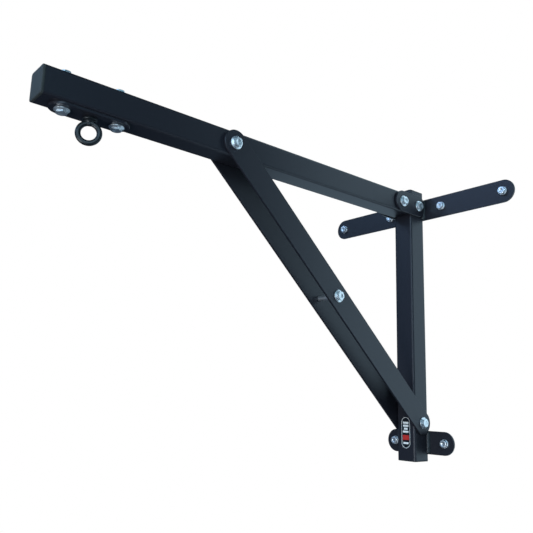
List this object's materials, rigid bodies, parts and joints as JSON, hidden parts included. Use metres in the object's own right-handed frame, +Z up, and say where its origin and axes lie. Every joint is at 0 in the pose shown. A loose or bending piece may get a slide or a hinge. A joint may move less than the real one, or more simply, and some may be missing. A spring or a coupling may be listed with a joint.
{
  "type": "wall-mounted punch bag bracket",
  "caption": "Wall-mounted steel bracket for a hanging punch bag: post with two wall plates, long arm, diagonal brace and a swivelling bag eye.",
  "frame": {"origin": "centre of the upper wall plate's back face, on the wall plane", "axes": "+Y into the wall, -Y along the arm into the room, +Z up, +X to the right seen from the room"},
  "size_m": [0.5298, 0.989, 0.642],
  "materials": {
    "black_powder_coat": "satin",
    "painted_weld": "satin",
    "black_eye_paint": "satin",
    "zinc_plating": "bright",
    "black_plastic": "matte",
    "label_print": "gloss"
  },
  "bodies": {
    "bracket": {"arm_end_cap": "black_plastic", "arm_pivot_bolt": "zinc_plating", "arm_pivot_nut": "zinc_plating", "arm_pivot_washer": "zinc_plating", "arm_tube": "black_powder_coat", "brace_arm_bolt": "zinc_plating", "brace_arm_nut": "zinc_plating", "brace_arm_washer": "zinc_plating", "brace_bar_left": "black_powder_coat", "brace_bar_right": "black_powder_coat", "brace_middle_bolt": "zinc_plating", "brace_middle_nut": "zinc_plating", "brace_middle_washer": "zinc_plating", "brace_post_bolt": "zinc_plating", "brace_post_nut": "zinc_plating", "brace_post_washer": "zinc_plating", "clevis_plate_left": "black_powder_coat", "clevis_plate_right": "black_powder_coat", "clevis_post_bolt": "zinc_plating", "clevis_post_nut": "zinc_plating", "clevis_post_washer": "zinc_plating", "eye_plate": "black_powder_coat", "eye_plate_front_bolt": "zinc_plating", "eye_plate_front_nut": "zinc_plating", "eye_plate_rear_bolt": "zinc_plating", "eye_plate_rear_nut": "zinc_plating", "lower_wall_bolts": "zinc_plating", "lower_wall_plate": "black_powder_coat", "lower_wall_washers": "zinc_plating", "plate_welds": "painted_weld", "post_bottom_cap": "black_plastic", "post_label": "label_print", "post_top_cap": "black_plastic", "upper_wall_bolts": "zinc_plating", "upper_wall_plate": "black_powder_coat", "upper_wall_washers": "zinc_plating", "wall_post": "black_powder_coat"},
    "eye": {"bag_eye": "black_eye_paint", "eye_washer": "zinc_plating", "eye_nut": "zinc_plating"}
  },
  "joints": [
    {"name": "eye_swivel", "type": "hinge", "parent": "bracket", "child": "eye", "pos_m": [0, -0.873, -0.026], "axis": [0, 0, 1], "continuous": true}
  ]
}
